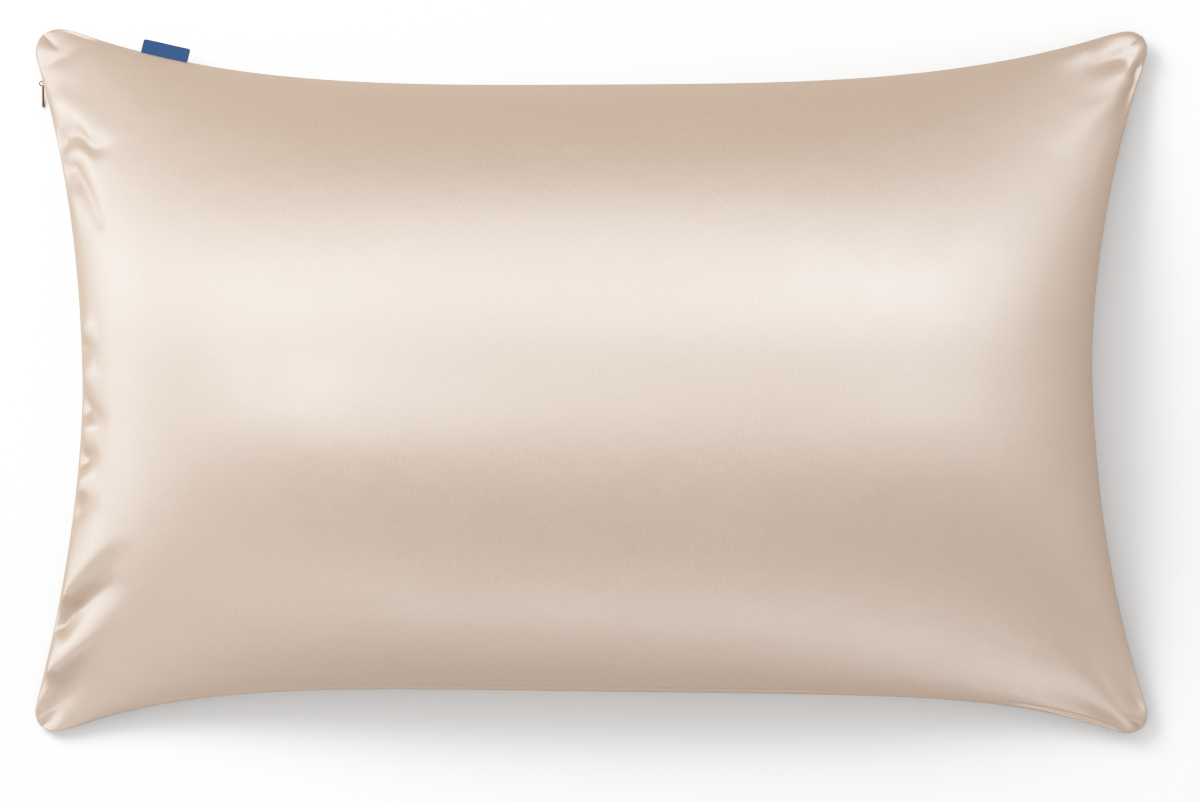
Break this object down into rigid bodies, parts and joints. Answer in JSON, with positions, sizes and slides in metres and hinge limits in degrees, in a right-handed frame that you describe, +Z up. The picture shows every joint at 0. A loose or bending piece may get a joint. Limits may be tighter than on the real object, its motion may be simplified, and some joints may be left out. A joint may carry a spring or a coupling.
{
  "type": "zipped satin pillowcase filled by a bed pillow",
  "caption": "Plump satin pillowcase with drawn-in sides, drooping corners, gathers along its zip end, a bare folded tab and a small metal zip pull.",
  "frame": {"origin": "on the surface it lies on, under the middle of the whole object", "axes": "+X along the long sides, away from the zip; +Y across, towards the side with the tab; +Z up, out of the face that is seen"},
  "size_m": [0.748, 0.475, 0.15],
  "materials": {
    "satin": "champagne satin, soft sheen",
    "ribbon": "matt woven ribbon",
    "brass": "antique, polished"
  },
  "bodies": {
    "root": {"pillowcase": "satin", "woven_tab": "ribbon", "zip_slider": "brass", "zip_pull": "brass"}
  },
  "joints": []
}
